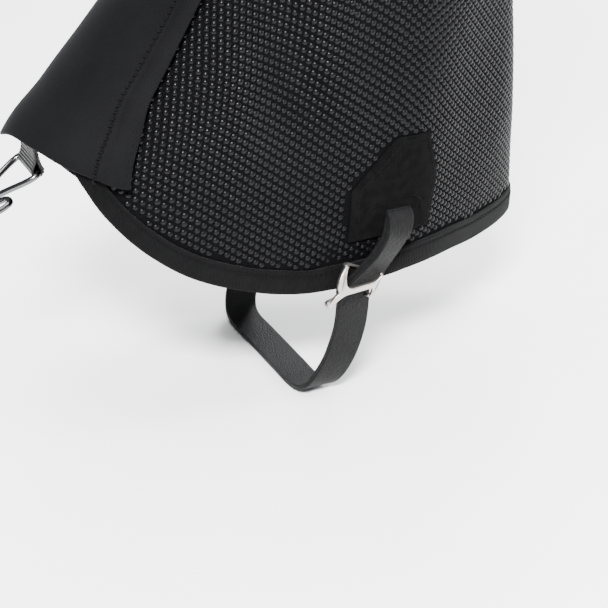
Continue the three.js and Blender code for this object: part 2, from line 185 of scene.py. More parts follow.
# ---------------------------------------------------------------- meshes
def add_object(name, mesh):
    obj = bpy.data.objects.new(name, mesh)
    bpy.context.scene.collection.objects.link(obj)
    return obj


def make(name, points, faces, uv=None):
    """A smooth-shaded mesh from points in millimetres."""
    mesh = bpy.data.meshes.new(name)
    faces = faces if isinstance(faces, list) else faces.tolist()
    mesh.from_pydata((np.asarray(points, float) / 1000).tolist(), [], faces)
    mesh.shade_smooth()
    if uv is not None:
        layer = mesh.uv_layers.new(name="UVMap")
        loops = np.empty(len(mesh.loops), np.int32)
        mesh.loops.foreach_get("vertex_index", loops)
        layer.data.foreach_set("uv", np.asarray(uv, np.float32)[loops].ravel())
    mesh.validate()
    return add_object(name, mesh)


def grid_faces(rows, cols, start=0, flip=False):
    a = (np.arange(rows - 1)[:, None] * cols + np.arange(cols - 1)[None, :]).ravel() + start
    quads = np.stack([a, a + 1, a + cols + 1, a + cols], 1)
    return quads[:, ::-1] if flip else quads


def ring_faces(rings, count, inside_out=False):
    """The faces of a stack of rings of count corners each, with a cap at both ends."""
    faces = []
    for i in range(0, (rings - 1) * count, count):
        for k in range(count):
            a = i + k
            b = i + (k + 1) % count
            faces.append((a, b, b + count, a + count) if inside_out else (a, a + count, b + count, b))
    first = tuple(range(count))
    last = tuple((rings - 1) * count + k for k in first)
    return faces + ([first[::-1], last] if inside_out else [first, last[::-1]])


def slab(name, inner, outer, uv):
    """A closed solid between two grids of points, with shared uv in millimetres over 10."""
    rows, cols = inner.shape[:2]
    count = rows * cols
    faces = [grid_faces(rows, cols, 0, True), grid_faces(rows, cols, count)]
    rim = np.concatenate([np.arange(cols), np.arange(1, rows) * cols + cols - 1,
                          (rows - 1) * cols + np.arange(cols - 2, -1, -1), np.arange(rows - 2, 0, -1) * cols])
    nxt = np.roll(rim, -1)
    faces.append(np.stack([rim, nxt, nxt + count, rim + count], 1))
    points = np.concatenate([inner.reshape(-1, 3), outer.reshape(-1, 3)])
    both = np.concatenate([uv.reshape(-1, 2), uv.reshape(-1, 2)])
    return make(name, points, np.concatenate(faces), both)


def spaced(length, step, edge):
    """Places along a length from 0 to 1, with extra ones at both ends for a rounded edge."""
    ends = np.array([0, 0.13, 0.35, 0.65, 1.0]) * edge
    middle = np.linspace(edge, length - edge, max(3, int(round((length - 2 * edge) / step)) + 1))[1:-1]
    return np.concatenate([ends, middle, length - ends[::-1]]) / length


def rounded(t, length, edge):
    d = np.minimum(t, 1 - t) * length / edge
    return np.sqrt(np.clip(1 - (1 - np.clip(d, 0, 1)) ** 2, 0, 1))


def cloth(name, where, width, height, inner, outer, step, soft=True, extra=None):
    """A piece of cloth: where(u, v) gives (angle, z). Its edges are rounded if it is soft."""
    edge = (outer - inner) / 2
    us = spaced(width, step[0], edge)
    vs = spaced(height, step[1], edge)
    u, v = np.meshgrid(us, vs)
    angle, z = where(u, v)
    half = rounded(u, width, edge) * rounded(v, height, edge) if soft else np.ones_like(u)
    half = np.maximum(half, 0.1) * edge
    more = 0 if extra is None else extra(u, v, angle, z)
    middle = (inner + outer) / 2 + more
    uv = np.stack([u * width, v * height], -1) / 10
    return slab(name, skin(angle, z, middle - half), skin(angle, z, middle + half), uv)


def between(a0, a1, low, high):
    """The piece between two angles and two heights, which may be functions of the angle."""
    def where(u, v):
        angle = a0 + (a1 - a0) * u
        z0 = low(angle) if callable(low) else low
        z1 = high(angle) if callable(high) else high
        return angle, z0 + (z1 - z0) * v

    return where


def run_along(points):
    """The distance along a row of points, from its start."""
    return np.concatenate([[0], np.cumsum(np.linalg.norm(np.diff(points, axis=0), axis=1))])


def band(name, angles, profile):
    """A closed solid swept round the leg; profile(angle) is its section, anticlockwise, as (off, z)."""
    sections = [np.array(profile(a)) for a in angles]
    count = len(sections[0])
    rings = [skin(np.full(count, a), s[:, 1], s[:, 0]) for a, s in zip(angles, sections)]
    points = np.concatenate(rings)
    mid = np.array([ring.mean(0) for ring in rings])
    run = run_along(mid)
    around = run_along(sections[0])
    uv = np.concatenate([np.stack([np.full(count, r), around], 1) for r in run]) / 10
    return make(name, points, ring_faces(len(angles), count), uv)


def catmull(points, count):
    """Evenly spaced points on a smooth curve through the given ones."""
    p = np.asarray(points, float)
    knots = np.concatenate([[0], np.cumsum(np.sqrt(np.linalg.norm(np.diff(p, axis=0), axis=1)))])
    slope = np.empty_like(p)
    slope[1:-1] = (p[2:] - p[:-2]) / (knots[2:] - knots[:-2])[:, None]
    slope[0] = (p[1] - p[0]) / (knots[1] - knots[0])
    slope[-1] = (p[-1] - p[-2]) / (knots[-1] - knots[-2])
    at = np.linspace(0, knots[-1], count * 6)
    i = np.clip(np.searchsorted(knots, at, side="right") - 1, 0, len(p) - 2)
    span = (knots[i + 1] - knots[i])[:, None]
    t = ((at - knots[i])[:, None]) / span
    s = 1 - t
    ends = (1 + 2 * t) * s * s * p[i] + (3 - 2 * t) * t * t * p[i + 1]
    fine = ends + span * s * t * (s * slope[i] - t * slope[i + 1])
    run = run_along(fine)
    even = np.linspace(0, run[-1], count)
    return np.stack([np.interp(even, run, fine[:, k]) for k in range(3)], 1), run[-1]


def sweep(name, centre, side, normal, section, length):
    """A section of (across, out) corners carried along a path."""
    section = np.asarray(section, float)
    across = side[:, None, :] * section[None, :, :1]
    out = normal[:, None, :] * section[None, :, 1:]
    rings = centre[:, None, :] + across + out
    n = len(centre)
    along = np.linspace(0, length, n)[:, None]
    uv = np.stack(np.broadcast_arrays(run_along(section)[None, :], along), -1).reshape(-1, 2) / 10
    return make(name, rings.reshape(-1, 3), ring_faces(n, len(section), True), uv)


def tube(name, points, radius, count, sides):
    centre, length = catmull(points, count)
    tangent = unit(np.gradient(centre, axis=0))
    normal = np.empty_like(tangent)
    current = np.cross(tangent[0], (0.0, 0.0, 1.0))
    if np.linalg.norm(current) < 0.1:
        current = np.cross(tangent[0], (0.0, 1.0, 0.0))
    for i, t in enumerate(tangent):
        current = current - t * np.dot(current, t)
        current = current / np.linalg.norm(current)
        normal[i] = current
    side = np.cross(tangent, normal)
    turn = np.linspace(0, 2 * math.pi, sides, endpoint=False)
    section = np.stack([np.cos(turn), np.sin(turn)], 1) * radius
    return sweep(name, centre, normal, side, section, length)


def oblong(width, low, high, radius):
    """A rounded rectangle, as (across, out) corners, anticlockwise."""
    points = []
    for cx, cy, start in ((width / 2 - radius, low + radius, -90), (width / 2 - radius, high - radius, 0),
                          (-width / 2 + radius, high - radius, 90), (-width / 2 + radius, low + radius, 180)):
        for k in range(5):
            a = math.radians(start + 90 * k / 4)
            points.append((cx + radius * math.cos(a), cy + radius * math.sin(a)))
    return points


def stitches(name, starts, ends, normals, radius, arch=0.25):
    """Threads that arch from each start to its end."""
    rings = 5
    sides = 6
    along = np.linspace(0, 1, rings)
    swell = np.sqrt(np.clip(1 - (2 * along - 1) ** 2, 0.12, 1))
    d = unit(ends - starts)
    n = unit(normals - d * (normals * d).sum(-1, keepdims=True))
    s = np.cross(d, n)
    turn = np.linspace(0, 2 * math.pi, sides, endpoint=False)
    centre = starts[:, None, :] + (ends - starts)[:, None, :] * along[None, :, None]
    centre = centre + n[:, None, :] * (arch * np.sin(math.pi * along))[None, :, None]
    circle = s[:, None, None, :] * np.cos(turn)[None, None, :, None]
    circle = circle + n[:, None, None, :] * np.sin(turn)[None, None, :, None]
    points = centre[:, :, None, :] + circle * (radius * swell)[None, :, None, None]
    one = ring_faces(rings, sides)
    total = rings * sides
    every = [tuple(v + total * i for v in face) for i in range(len(starts)) for face in one]
    return make(name, points.reshape(-1, 3), every)


def thread_line(name, path, normals, pitch, share, radius, zig=0.0):
    """Running stitches along a path of points on a surface, or a zigzag when zig is given."""
    run = run_along(path)
    count = max(2, int(run[-1] / pitch))
    at = np.arange(count) * pitch

    def between_points(x, table):
        return np.stack([np.interp(x, run, table[:, k]) for k in range(3)], 1)

    facing = unit(between_points(at, normals))
    starts = between_points(at, path)
    if zig:
        ends = between_points(at + pitch, path)
        across = unit(np.cross(facing, ends - starts)) * zig
        odd = (np.arange(count) % 2 * 2 - 1)[:, None]
        return stitches(name, starts + across * odd, ends - across * odd, facing, radius, 0.12)
    return stitches(name, starts, between_points(at + pitch * share, path), facing, radius)


def on_skin(angles, heights, off):
    angles, heights = np.asarray(angles, float), np.asarray(heights, float)
    return skin(angles, heights, np.broadcast_to(off, angles.shape)), outward(angles, heights)


# ---------------------------------------------------------------- materials
def material(name, base, rough, metal=0.0, sheen=0.0, specular=0.5, sheen_tint=(1, 1, 1)):
    m = bpy.data.materials.new(name)
    m.use_nodes = True
    tree = m.node_tree
    shader = tree.nodes["Principled BSDF"]
    shader.inputs["Base Color"].default_value = (*base, 1)
    shader.inputs["Roughness"].default_value = rough
    shader.inputs["Metallic"].default_value = metal
    shader.inputs["Specular IOR Level"].default_value = specular
    if sheen:
        shader.inputs["Sheen Weight"].default_value = sheen
        shader.inputs["Sheen Roughness"].default_value = 0.4
        shader.inputs["Sheen Tint"].default_value = (*sheen_tint, 1)
    return m, tree, shader


def node(tree, kind, **inputs):
    n = tree.nodes.new(kind)
    for key, value in inputs.items():
        if key in n.inputs:
            n.inputs[key].default_value = value
        else:
            setattr(n, key, value)
    return n


def coordinates(tree, source="UV", scale=(1, 1, 1)):
    tex = node(tree, "ShaderNodeTexCoord")
    mapping = node(tree, "ShaderNodeMapping")
    mapping.inputs["Scale"].default_value = scale
    tree.links.new(tex.outputs[source], mapping.inputs["Vector"])
    return mapping.outputs["Vector"]


def math_node(tree, op, a, b=0.0):
    n = tree.nodes.new("ShaderNodeMath")
    n.operation = op
    for i, value in enumerate((a, b)):
        if isinstance(value, (int, float)):
            n.inputs[i].default_value = value
        else:
            tree.links.new(value, n.inputs[i])
    return n.outputs[0]


def remap(tree, value, low, high):
    n = node(tree, "ShaderNodeMapRange")
    n.inputs["To Min"].default_value = low
    n.inputs["To Max"].default_value = high
    tree.links.new(value, n.inputs["Value"])
    return n.outputs["Result"]


def mottle(tree, shader, base, spread, scale, source="Object", stretch=(1, 1, 1)):
    """Uneven colour and wear: the base colour varies by the share spread."""
    noise = node(tree, "ShaderNodeTexNoise", Scale=scale, Detail=6.0, Roughness=0.6)
    tree.links.new(coordinates(tree, source, stretch), noise.inputs["Vector"])
    share = remap(tree, noise.outputs["Fac"], 1 - spread, 1 + spread)
    share.node.inputs["From Min"].default_value = 0.3
    share.node.inputs["From Max"].default_value = 0.7
    colour = node(tree, "ShaderNodeVectorMath")
    colour.operation = "SCALE"
    colour.inputs[0].default_value = base
    tree.links.new(share, colour.inputs["Scale"])
    tree.links.new(colour.outputs["Vector"], shader.inputs["Base Color"])


def add_bump(tree, shader, heights, strength, distance):
    """Sums (socket, weight) heights into one bump."""
    total = 0.0
    for socket, weight in heights:
        total = math_node(tree, "ADD", math_node(tree, "MULTIPLY", socket, weight), total)
    bump_node = node(tree, "ShaderNodeBump", Strength=strength, Distance=distance)
    tree.links.new(total, bump_node.inputs["Height"])
    tree.links.new(bump_node.outputs["Normal"], shader.inputs["Normal"])


def ribs(tree, per_mm, axis="X", turn=0.0):
    """Straight ribs across the piece, in its own uv, which runs 0.1 per millimetre."""
    place = coordinates(tree)
    place.node.inputs["Rotation"].default_value = (0, 0, turn)
    parts = node(tree, "ShaderNodeSeparateXYZ")
    tree.links.new(place, parts.inputs["Vector"])
    angle = math_node(tree, "MULTIPLY", parts.outputs[axis], 10 * per_mm * 2 * math.pi)
    return math_node(tree, "SINE", angle)


def fine_noise(tree, scale, stretch=(1, 1, 1), source="Object", detail=5.0):
    noise = node(tree, "ShaderNodeTexNoise", Scale=scale, Detail=detail, Roughness=0.65)
    tree.links.new(coordinates(tree, source, stretch), noise.inputs["Vector"])
    return noise.outputs["Fac"]


def woven(name, base, rough, per_mm, strength, sheen, specular, twill=True):
    m, tree, shader = material(name, base, rough, sheen=sheen, specular=specular)
    mottle(tree, shader, base, 0.18, 90)
    if twill:
        slanted = ribs(tree, per_mm, "X", math.radians(35))
        pattern = [(slanted, 0.6), (ribs(tree, per_mm * 1.4, "Y"), 0.25)]
    else:
        warp = ribs(tree, per_mm, "X")
        pattern = [(math_node(tree, "MULTIPLY", warp, ribs(tree, per_mm, "Y")), 0.7)]
    pattern.append((fine_noise(tree, 1500), 0.6))
    add_bump(tree, shader, pattern, strength, 0.00012)
    return m


def softshell():
    base = (0.002, 0.002, 0.0023)
    tint = (0.85, 0.88, 0.95)
    m, tree, shader = material("softshell", base, 0.75, sheen=0.02, specular=0.05, sheen_tint=tint)
    mottle(tree, shader, base, 0.22, 55)
    weave = math_node(tree, "MULTIPLY", ribs(tree, 0.85, "X"), ribs(tree, 0.85, "Y"))
    fuzz = fine_noise(tree, 1200)
    add_bump(tree, shader, [(weave, 0.5), (fuzz, 0.8), (fine_noise(tree, 160), 1.2)], 0.35, 0.00012)
    return m


def rubber_dots():
    base = (0.002, 0.002, 0.0024)
    m, tree, shader = material("rubber_dots", base, 0.28, specular=0.1)
    mottle(tree, shader, base, 0.2, 240)
    add_bump(tree, shader, [(fine_noise(tree, 1600), 1.0)], 0.1, 0.00008)
    return m


def twill_tape():
    base = (0.0021, 0.0021, 0.0023)
    m, tree, shader = material("twill_tape", base, 0.8, sheen=0.02, specular=0.045)
    mottle(tree, shader, base, 0.25, 120)
    across = ribs(tree, 1.25, "X")
    weft = ribs(tree, 3.0, "Y")
    fuzz = fine_noise(tree, 1800)
    add_bump(tree, shader, [(across, 1.0), (weft, 0.25), (fuzz, 0.6)], 0.75, 0.00014)
    return m


def suede():
    base = (0.0022, 0.0023, 0.0022)
    m, tree, shader = material("suede", base, 0.95, sheen=0.025, specular=0.015, sheen_tint=(0.85, 0.9, 0.85))
    mottle(tree, shader, base, 0.4, 260)
    add_bump(tree, shader, [(fine_noise(tree, 2400), 1.0), (fine_noise(tree, 420), 0.8)], 0.6, 0.00015)
    return m


def strap_plastic():
    base = (0.0034, 0.0034, 0.0037)
    m, tree, shader = material("strap_plastic", base, 0.45, specular=0.1)
    mottle(tree, shader, base, 0.6, 1.0, "UV", (14, 5, 1))
    grain = fine_noise(tree, 1.0, (13, 5, 1), "UV", 6.0)
    pits = fine_noise(tree, 1700)
    add_bump(tree, shader, [(grain, 1.0), (pits, 0.2)], 1.0, 0.0016)
    tree.links.new(remap(tree, grain, 0.36, 0.6), shader.inputs["Roughness"])
    return m


def metal(name, base, rough):
    m, tree, shader = material(name, base, rough, metal=1.0)
    mottle(tree, shader, base, 0.06, 120)
    brushed = fine_noise(tree, 500, (0.15, 1, 1.0))
    tree.links.new(remap(tree, brushed, rough - 0.07, rough + 0.1), shader.inputs["Roughness"])
    add_bump(tree, shader, [(brushed, 1.0), (fine_noise(tree, 2600), 0.5)], 0.06, 0.00008)
    return m


def moulded():
    base = (0.004, 0.004, 0.0043)
    m, tree, shader = material("moulded_plastic", base, 0.4, specular=0.2)
    mottle(tree, shader, base, 0.2, 90)
    add_bump(tree, shader, [(fine_noise(tree, 1500), 1.0)], 0.35, 0.0001)
    return m


def elastic_cloth():
    base = (0.008, 0.008, 0.0085)
    m, tree, shader = material("elastic_cloth", base, 0.45, sheen=0.05, specular=0.25)
    mottle(tree, shader, base, 0.25, 200)
    add_bump(tree, shader, [(ribs(tree, 1.6, "X"), 0.6), (fine_noise(tree, 2200), 0.6)], 0.4, 0.0001)
    return m


def loop_pile():
    base = (0.008, 0.008, 0.008)
    m, tree, shader = material("loop_pile", base, 0.9, sheen=0.1, specular=0.1)
    mottle(tree, shader, base, 0.4, 500)
    add_bump(tree, shader, [(fine_noise(tree, 1400), 1.0)], 1.0, 0.0005)
    return m


MATS = {
    "ground": woven("ground_cloth", (0.0016, 0.0016, 0.0019), 0.9, 1.6, 0.5, 0.0, 0.03, twill=False),
    "softshell": softshell(),
    "dots": rubber_dots(),
    "tape": twill_tape(),
    "suede": suede(),
    "strap": strap_plastic(),
    "steel": metal("satin_steel", (0.44, 0.40, 0.385), 0.36),
    "wire": metal("dark_wire", (0.10, 0.10, 0.105), 0.18),
    "plastic": moulded(),
    "elastic": elastic_cloth(),
    "pile": loop_pile(),
    "webbing": woven("webbing", (0.0045, 0.0045, 0.005), 0.65, 0.9, 1.0, 0.03, 0.12),
    "thread": woven("thread", (0.002, 0.002, 0.0022), 0.7, 2.5, 0.6, 0.0, 0.06),
    "grey_thread": woven("grey_thread", (0.004, 0.004, 0.0045), 0.6, 2.5, 0.6, 0.02, 0.1),
}


def dress(obj, mat, body="gaiter", replaces=None):
    """Gives a piece its material and slot, the body it rides on and the CAD node it stands for."""
    obj.data.materials.clear()
    obj.data.materials.append(MATS[mat])
    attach(obj, body)
    if replaces:
        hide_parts(replaces)
    return obj


# ---------------------------------------------------------------- the shell
def shell():
    """The four panels. The two lower ones are returned, for their dots."""
    def hem_edge(angle):
        return hem_at(angle) + 2.3

    def panel(name, first, last, low, high, width, height, step):
        return cloth(name, between(first, last, low, high), width, height, -CLOTH, 0, step, False)

    lower = (hem_edge, YOKE_Z - 0.3)
    upper = (YOKE_Z + 0.3, TOP_Z - 1.4)
    outer = panel("shell_outer_lower", OPENING_OUTER, BACK_OUTER, *lower, 260, 175, (2.6, 3.2))
    inner = panel("shell_inner_lower", BACK_INNER, OPENING_INNER, *lower, 200, 175, (2.6, 3.2))
    outer_top = panel("shell_outer_upper", OPENING_OUTER, BACK_OUTER, *upper, 220, 192, (3.2, 4))
    inner_top = panel("shell_inner_upper", BACK_INNER, OPENING_INNER, *upper, 160, 192, (3.2, 4))
    dress(outer, "ground", replaces="outer_lower_panel")
    dress(inner, "ground", replaces="inner_lower_panel")
    dress(outer_top, "softshell", replaces="outer_upper_panel")
    dress(inner_top, "softshell", replaces="inner_upper_panel")
    return outer, inner


# the dots' lattice, in distances round the leg from the strap and up it, and how far apart its columns stand
LATTICE_A = (2.62, -1.8)
LATTICE_B = (2.62, 1.75)
SPREAD = np.array([(-110, 1.12), (-85, 1.05), (-60, 0.94), (-30, 0.94), (0, 0.97), (24, 0.8), (38, 0.84),
                   (54, 0.96)])
DOT_R = 1.46
DOT_H = 0.7
SUNK = 0.12


def surface_tables():
    """Distances over the form in millimetres: round it from the angle 85, and up it from the height 50."""
    angles, heights = np.arange(-32, 182, 0.5), np.arange(44, 244, 1.0)
    p = form(angles[None, :], heights[:, None])
    round_it = np.zeros(p.shape[:2])
    round_it[:, 1:] = np.cumsum(np.linalg.norm(np.diff(p, axis=1), axis=2), axis=1)
    round_it -= round_it[:, np.argmin(abs(angles - 85)), None]
    up_it = np.zeros(p.shape[:2])
    up_it[1:] = np.cumsum(np.linalg.norm(np.diff(p, axis=0), axis=2), axis=0)
    return angles, heights, np.stack([round_it, up_it - 6.0], -1)


def dot_places():
    """The lattice of raised dots on the outer half, as angles and heights. The inner half mirrors it."""
    angles, heights, table = surface_tables()

    def measure(angle, z):
        x = np.clip((angle - angles[0]) / 0.5, 0, len(angles) - 1.001)
        y = np.clip(z - heights[0], 0, len(heights) - 1.001)
        i, j = x.astype(int), y.astype(int)
        fx, fy = (x - i)[:, None], (y - j)[:, None]
        low = table[j, i] * (1 - fx) + table[j, i + 1] * fx
        high = table[j + 1, i] * (1 - fx) + table[j + 1, i + 1] * fx
        return low * (1 - fy) + high * fy

    i, j = np.meshgrid(np.arange(-150, 151), np.arange(-150, 151))
    s = (i * LATTICE_A[0] + j * LATTICE_B[0]).ravel()
    t = (90 + i * LATTICE_A[1] + j * LATTICE_B[1]).ravel()
    # the lattice turns and closes up a little towards the heel, as stretched cloth does
    t = 60 + (t - 60) * (1 - 0.11 * smooth(s, 0, 50)) - 0.0006 * np.maximum(s, 0) ** 2
    run = np.arange(-220, 220, 0.5)
    spread = np.cumsum(np.interp(run, SPREAD[:, 0], SPREAD[:, 1])) * 0.5
    s = np.interp(s, run, spread - np.interp(0, run, spread))
    keep = (t > -20) & (t < 240) & (abs(s) < 190)
    wanted = np.stack([s, t], -1)[keep]
    # each dot is moved until it measures the distances wanted
    angle, z = 85 + wanted[:, 0] * 0.9, 50 + wanted[:, 1] * 0.9
    for turn in range(30):
        share = 1.0 if turn < 8 else 0.55
        here = measure(angle, z)
        da = (measure(angle + 0.5, z) - here) / 0.5
        dz = (measure(angle, z + 0.5) - here) / 0.5
        miss = wanted - here
        det = da[:, 0] * dz[:, 1] - da[:, 1] * dz[:, 0]
        det = np.where(abs(det) < 1e-3, 1e-3, det)
        angle = angle + share * np.clip((miss[:, 0] * dz[:, 1] - miss[:, 1] * dz[:, 0]) / det, -12, 12)
        z = z + share * np.clip((da[:, 0] * miss[:, 1] - da[:, 1] * miss[:, 0]) / det, -12, 12)
        angle, z = np.clip(angle, -31, 181), np.clip(z, 45, 242)
    keep = np.linalg.norm(wanted - measure(angle, z), axis=1) < 0.2
    keep &= (z > hem_at(angle) + BINDING + 1.3) & (z < YOKE_Z - 5.5) & (angle < 174.2)
    return angle[keep], z[keep]


def in_patch(angle, z):
    at = np.clip(z, PATCH[0, 0], PATCH[2, 0])
    left = np.interp(at, PATCH[:, 0], PATCH[:, 1]) - 0.6
    right = np.interp(at, PATCH[:, 0], PATCH[:, 2]) + 0.6
    return (z > PATCH[0, 0] - 0.8) & (z < PATCH[2, 0] + 0.8) & (angle > left) & (angle < right)


def dots(name, angle, z, sides, shares):
    """Low domes on the cloth, each a stack of rings of the shares given, sunk a little into it."""
    flat = np.zeros_like(z)
    p = skin(angle, z, flat)
    n = outward(angle, z)
    t = unit(skin(angle + 0.4, z, flat) - skin(angle - 0.4, z, flat))
    b = np.cross(n, t)
    turn = np.linspace(0, 2 * math.pi, sides, endpoint=False)
    size = 1 + RNG.uniform(-0.05, 0.05, len(p))
    ring = t[:, None, :] * np.cos(turn)[None, :, None] + b[:, None, :] * np.sin(turn)[None, :, None]
    points = []
    for k, share in enumerate(shares):
        centre = p + n * (DOT_H * (1 - share * share) - (SUNK if k == 0 else 0))
        points.append(centre[:, None, :] + ring * (DOT_R * share * size)[:, None, None])
    points.append((p + n * DOT_H)[:, None, :])
    points.append((p - n * SUNK)[:, None, :])
    block = np.concatenate(points, 1)
    total = block.shape[1]
    one = []
    last = (len(shares) - 1) * sides
    for k in range(0, last, sides):
        for m in range(sides):
            a = k + m
            c = k + (m + 1) % sides
            one.append((a, c, c + sides, a + sides))
    for m in range(sides):
        one.append((last + m, last + (m + 1) % sides, last + sides))
        one.append(((m + 1) % sides, m, last + sides + 1))
    faces = [tuple(v + total * i for v in face) for i in range(len(p)) for face in one]
    return dress(make(name, block.reshape(-1, 3), faces), "dots")


def lattice(outer, inner):
    angle, z = dot_places()
    clear = ~in_patch(angle, z)
    keep = (angle > flap_edge(z) - 5) & clear
    outer_dots = dots("dots_outer", angle[keep], z[keep], 8, (1, 0.78, 0.4))
    keep = (angle > 46) & clear
    inner_dots = dots("dots_inner", 360 - angle[keep], z[keep], 6, (1, 0.6))


def sew(name, angles, heights, off, pitch, share, radius, mat="thread", zig=0.0):
    path, normal = on_skin(angles, heights, off)
    dress(thread_line(name, path, normal, pitch, share, radius, zig), mat)


def trim():
    face = GAP + 0.9
    back = -CLOTH - GAP - 0.9


    def hem(angle):
        z = float(hem_at(angle))
        bulge = 0.35 + 0.25 * math.sin(angle / 7.0)
        return [(back, z + 0.5), (back + 0.5, z), (face - 0.3, z), (face + 0.15 * bulge, z + 0.5),
                (face + 0.7 * bulge, z + 2.5), (face + 0.8 * bulge, z + 5), (face + 0.25, z + 7.2),
                (face - 0.28, z + 8.0), (face - 0.02, z + 8.9), (face - 0.1, z + BINDING - 0.3),
                (face - 0.45, z + BINDING), (0.0, z + BINDING - 0.1), (0.0, z + 2.0), (-CLOTH - 0.1, z + 2.0),
                (-CLOTH - 0.1, z + BINDING - 2), (back, z + BINDING - 2)]

    angles = np.linspace(OPENING_OUTER, OPENING_INNER, 620)
    dress(band("hem_binding_piece", angles, hem), "tape", replaces="hem_binding")
    run = np.linspace(OPENING_OUTER + 0.5, OPENING_INNER - 0.5, 900)
    sew("hem_stitches", run, hem_at(run) + 8.0, face - 0.2, 2.6, 0.74, 0.26)

    def top(angle):
        z = TOP_Z + 0.5
        return [(face - 0.2, z), (back + 0.3, z), (back, z - 0.6), (back, z - 9), (-CLOTH - 0.1, z - 9),
                (-CLOTH - 0.1, z - 2), (0, z - 2), (0, z - 11), (face - 0.4, z - 11), (face, z - 10.5),
                (face - 0.05, z - 9.2), (face - 0.3, z - 8.6), (face + 0.1, z - 7.8), (face + 0.2, z - 4),
                (face + 0.1, z - 0.7)]

    angles = np.linspace(OPENING_OUTER, OPENING_INNER, 360)
    dress(band("top_binding_piece", angles, top), "tape", replaces="top_binding")
    sew("top_stitches", run, np.full_like(run, TOP_Z - 8.1), face - 0.2, 3.0, 0.74, 0.26)

    def tape(name, place, width, height, step, cad):
        dress(cloth(name, place, width, height, 0.05, 0.05 + TAPE, step), "tape", replaces=cad)

    yoke = between(48, 304, YOKE_Z - 4, YOKE_Z + 4)
    tape("yoke_tape_piece", yoke, 270, 8, (2.6, 1.2), "yoke_seam_tape")
    around = np.linspace(49, 303, 700)
    for k, dz in enumerate((-2.7, 2.7)):
        sew(f"yoke_stitches_{k}", around, np.full_like(around, YOKE_Z + dz), 0.85, 2.8, 0.72, 0.22)
    low = between(175, 185, 72, YOKE_Z - 4)
    tape("back_tape_low", low, 10, 160, (1.2, 3), "back_seam_tape_lower")
    high = between(175, 185, YOKE_Z + 4, TOP_Z - 11)
    tape("back_tape_high", high, 10, 180, (1.2, 3), "back_seam_tape_upper")
    rise = np.linspace(73, TOP_Z - 12, 500)
    for k, side in enumerate((176.6, 183.4)):
        sew(f"back_stitches_{k}", np.full_like(rise, side), rise, 0.85, 2.8, 0.72, 0.22)


# ---------------------------------------------------------------- the flap
def flap_lift(angle, z):
    """The flap comes down to the shell at its sewn edge and stands a little proud at its free corner."""
    t = smooth(angle, FLAP_SEAM, FLAP_RAMP)
    corner = np.exp(-((angle - 44) / 9.0) ** 2) * (1 - smooth(z, 104, 150))
    lip = 0.5 * (1 - smooth(z, 108, 128)) * smooth(angle, -40, -20)
    return (1 - t) * (0.15 - FLAP_OFF) + 0.5 * corner + lip


def flap_piece(name, start, end, width, step, extra=None):
    """A strip of the flap between two edges, given as angles by height."""
    def where(u, v):
        guess = start(110.0) + (end(110.0) - start(110.0)) * u
        z = flap_low(guess) + (FLAP_TOP - flap_low(guess)) * v
        return start(z) + (end(z) - start(z)) * u, z

    def more(u, v, angle, z):
        return flap_lift(angle, z) + (0 if extra is None else extra(u, v, angle, z))

    return cloth(name, where, width, 340, FLAP_OFF, FLAP_OFF + CLOTH, step, True, more)


def flap():
    """The flap with its folded edge, its stitching and the two tapes that close it."""
    def seam(z):
        return FLAP_SEAM + 0 * z

    def main_edge(z):
        return flap_edge(z) - FLAP_BAND + 0.1

    def fold_start(z):
        return flap_edge(z) - FLAP_BAND - 0.1

    def fold(u, v, angle, z):
        roll = 0.4 * np.exp(-((u - 0.62) / 0.3) ** 2) - 0.25 * np.exp(-((u - 0.22) / 0.07) ** 2)
        return roll + 0.2 * np.sin(z / 5.0) * (1 - smooth(z, 120, 180)) * u

    main = flap_piece("flap_main", seam, main_edge, 100, (2.2, 3))
    dress(main, "softshell", replaces="front_flap")
    edge = flap_piece("flap_edge_piece", fold_start, flap_edge, 11, (1.0, 3), fold)
    dress(edge, "softshell", replaces="flap_edge_band")

    def sew_flap(name, angle, z, off, pitch, share, radius, zig=0.0):
        sew(name, angle, z, FLAP_OFF + CLOTH + off + flap_lift(angle, z), pitch, share, radius, zig=zig)

    z = np.linspace(109, FLAP_TOP - 2, 900)
    angle = flap_edge(z) - FLAP_BAND
    sew_flap("flap_zigzag", angle, z, 0.15, 1.3, 1.0, 0.27, 0.95)
    sew_flap("flap_edge_stitches", angle + 6.9, z, -0.08, 2.8, 0.7, 0.2)
    z = np.linspace(104, FLAP_TOP - 2, 900)
    for k, side in enumerate((-47.6, -45.2)):
        sew_flap(f"flap_seam_stitches_{k}", np.full_like(z, side), z, -0.05, 2.8, 0.72, 0.22)

    def tape_place(u, v):
        z = 133 + (FLAP_TOP - 3 - 133) * v
        return flap_edge(z) - 27 + 17 * u, z

    for name, low, high in (("loop_tape", 0.1, 1.4), ("hook_tape", 1.9, 3.35)):
        tape = cloth(f"{name}_piece", tape_place, 20, 285, low, high, (2, 4))
        dress(tape, "pile", replaces=name)


